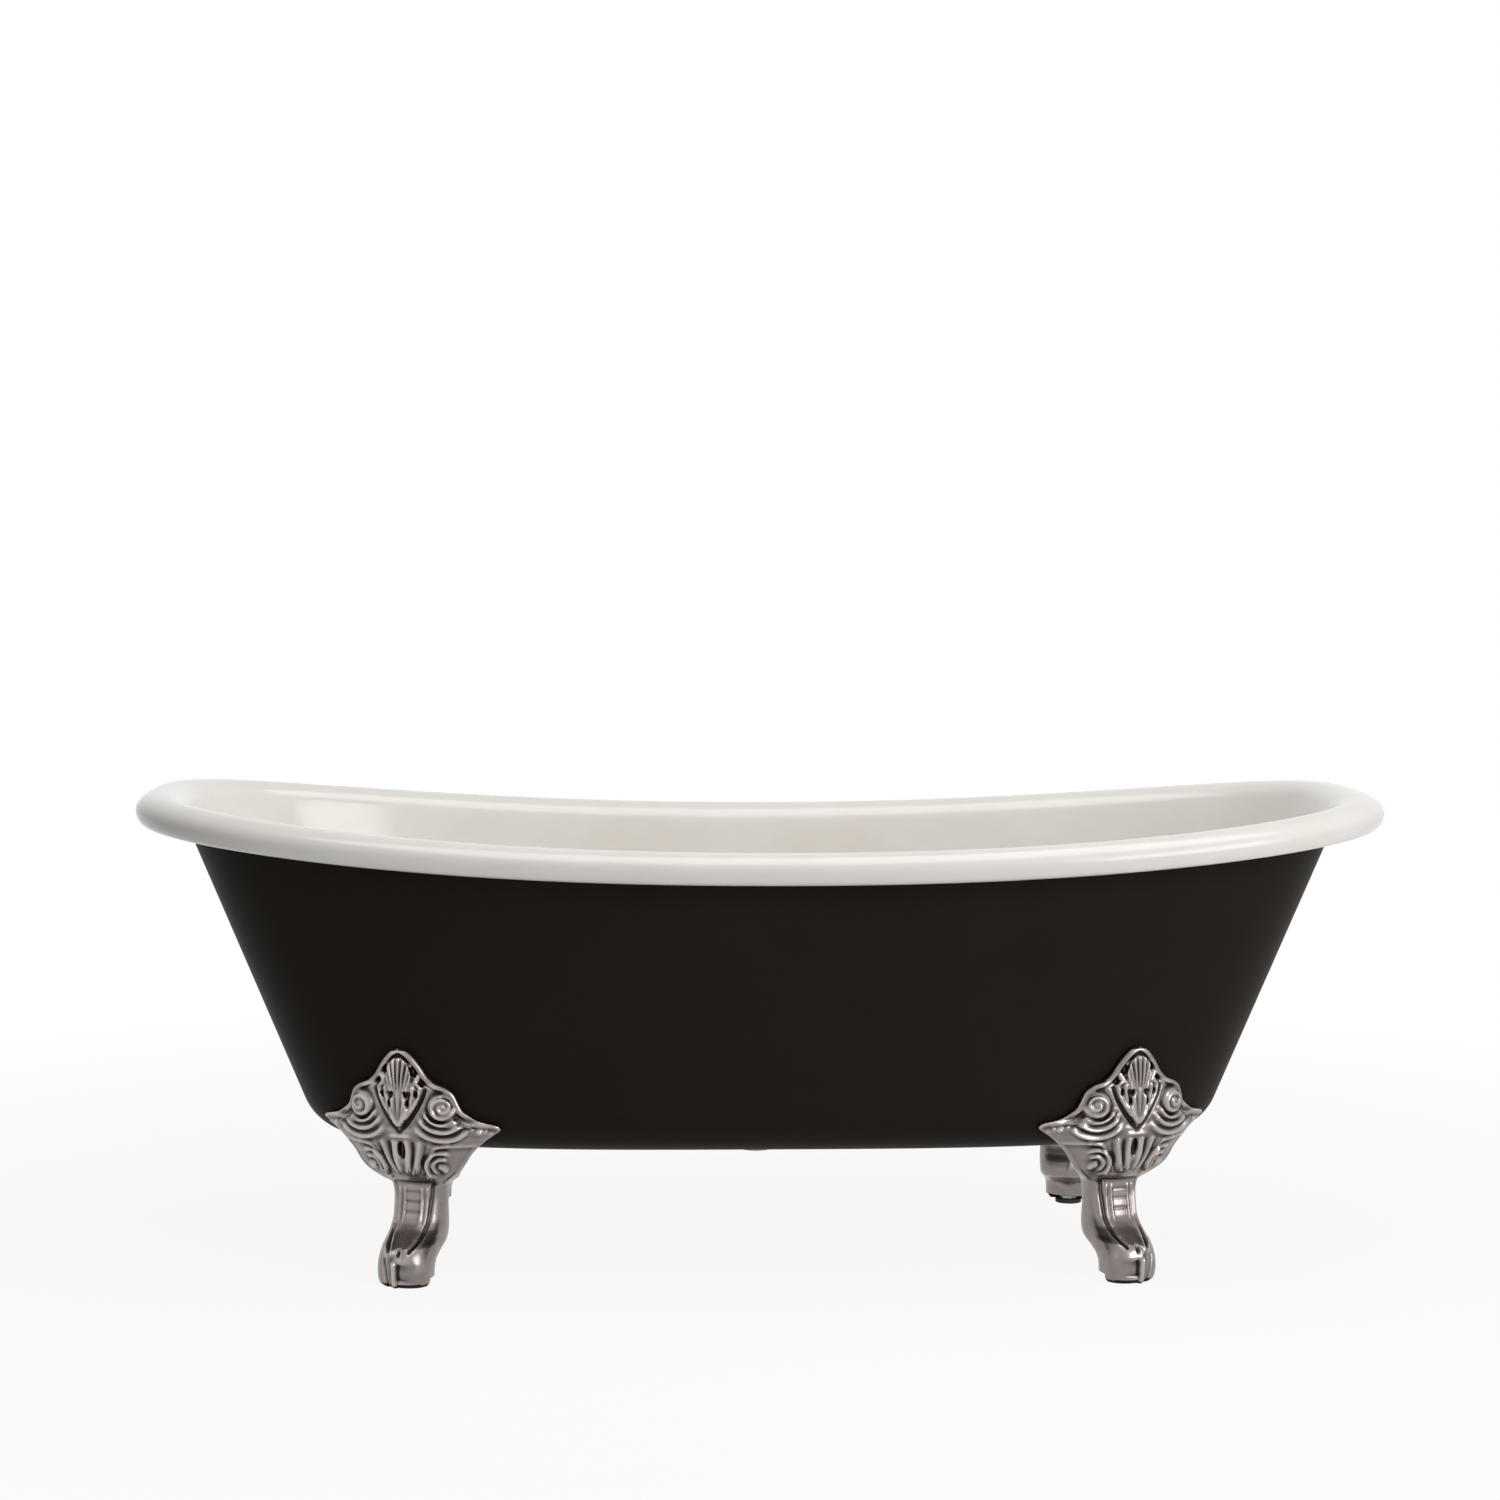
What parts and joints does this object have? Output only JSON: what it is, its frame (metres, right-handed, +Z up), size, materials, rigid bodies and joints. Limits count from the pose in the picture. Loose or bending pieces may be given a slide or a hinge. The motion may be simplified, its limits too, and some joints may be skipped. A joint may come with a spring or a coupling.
{
  "type": "freestanding claw-foot bathtub",
  "caption": "Freestanding double-ended cast iron bath with a sweeping rolled rim, white enamel inside, dark outside, on ornate splayed claw feet.",
  "frame": {"origin": "on the floor under the middle of the bath: the bottom centre of the bounding box", "axes": "+X along the bath to the right in the picture, -Y towards the front, +Z up"},
  "size_m": [1.7, 0.79, 0.6347],
  "materials": {
    "iron": "satin black paint with a warm brown cast over cast iron",
    "enamel": "glossy warm white vitreous enamel",
    "nickel_iron": "warm grey brushed nickel plate over cast iron",
    "steel": "bright zinc-plated steel",
    "spring_steel": "drawn stainless steel wire",
    "pad_rubber": "matte black rubber",
    "seal_rubber": "matte black rubber",
    "nickel_brass": "brushed nickel plate over brass",
    "raw_brass": "dull cast brass",
    "brass": "turned brass"
  },
  "bodies": {
    "bath": {"bath_shell": "iron", "enamel_lining": "enamel", "foot_front_left": "nickel_iron", "foot_front_right": "nickel_iron", "foot_rear_left": "nickel_iron", "foot_rear_right": "nickel_iron", "foot_bolts": "steel", "foot_washers": "steel", "waste_flange": "nickel_brass", "waste_flange_seal": "seal_rubber", "waste_tee": "raw_brass", "waste_tee_seal": "seal_rubber", "plug_cartridge": "brass", "cartridge_spring": "spring_steel", "overflow_faceplate": "nickel_brass", "overflow_screw": "steel", "overflow_inner_seal": "seal_rubber", "overflow_outer_seal": "seal_rubber", "overflow_elbow": "raw_brass", "overflow_pipe": "nickel_brass", "overflow_top_nut": "nickel_brass", "overflow_bottom_nut": "nickel_brass", "overflow_sealing_rings": "seal_rubber"},
    "plug": {"plug_cap": "nickel_brass", "plug_stem": "brass", "plug_seal": "seal_rubber"},
    "pad_front_left": {"level_pad_front_left": "pad_rubber"},
    "screw_front_left": {"level_screw_front_left": "steel"},
    "pad_front_right": {"level_pad_front_right": "pad_rubber"},
    "screw_front_right": {"level_screw_front_right": "steel"},
    "pad_rear_left": {"level_pad_rear_left": "pad_rubber"},
    "screw_rear_left": {"level_screw_rear_left": "steel"},
    "pad_rear_right": {"level_pad_rear_right": "pad_rubber"},
    "screw_rear_right": {"level_screw_rear_right": "steel"}
  },
  "joints": [
    {"name": "plug_lift", "type": "slide", "parent": "bath", "child": "plug", "axis": [0, 0, 1], "range_m": [0, 0.009], "deforming": ["cartridge_spring"]},
    {"name": "pad_drop_front_left", "type": "slide", "parent": "bath", "child": "pad_front_left", "axis": [0, 0, -1], "range_m": [0, 0.00875]},
    {"name": "screw_turn_front_left", "type": "hinge", "parent": "pad_front_left", "child": "screw_front_left", "pos_m": [-0.47137, -0.23127, 0.0058], "axis": [0, 0, -1], "range_deg": [0, 1800]},
    {"name": "pad_drop_front_right", "type": "slide", "parent": "bath", "child": "pad_front_right", "axis": [0, 0, -1], "range_m": [0, 0.00875]},
    {"name": "screw_turn_front_right", "type": "hinge", "parent": "pad_front_right", "child": "screw_front_right", "pos_m": [0.47137, -0.23127, 0.0058], "axis": [0, 0, -1], "range_deg": [0, 1800]},
    {"name": "pad_drop_rear_left", "type": "slide", "parent": "bath", "child": "pad_rear_left", "axis": [0, 0, -1], "range_m": [0, 0.00875]},
    {"name": "screw_turn_rear_left", "type": "hinge", "parent": "pad_rear_left", "child": "screw_rear_left", "pos_m": [-0.47137, 0.23127, 0.0058], "axis": [0, 0, -1], "range_deg": [0, 1800]},
    {"name": "pad_drop_rear_right", "type": "slide", "parent": "bath", "child": "pad_rear_right", "axis": [0, 0, -1], "range_m": [0, 0.00875]},
    {"name": "screw_turn_rear_right", "type": "hinge", "parent": "pad_rear_right", "child": "screw_rear_right", "pos_m": [0.47137, 0.23127, 0.0058], "axis": [0, 0, -1], "range_deg": [0, 1800]}
  ],
  "couplings": [
    {"joint": "screw_turn_front_left", "follows": "pad_drop_front_left", "rad_per_m": 3590.4},
    {"joint": "screw_turn_front_right", "follows": "pad_drop_front_right", "rad_per_m": 3590.4},
    {"joint": "screw_turn_rear_left", "follows": "pad_drop_rear_left", "rad_per_m": 3590.4},
    {"joint": "screw_turn_rear_right", "follows": "pad_drop_rear_right", "rad_per_m": 3590.4}
  ]
}
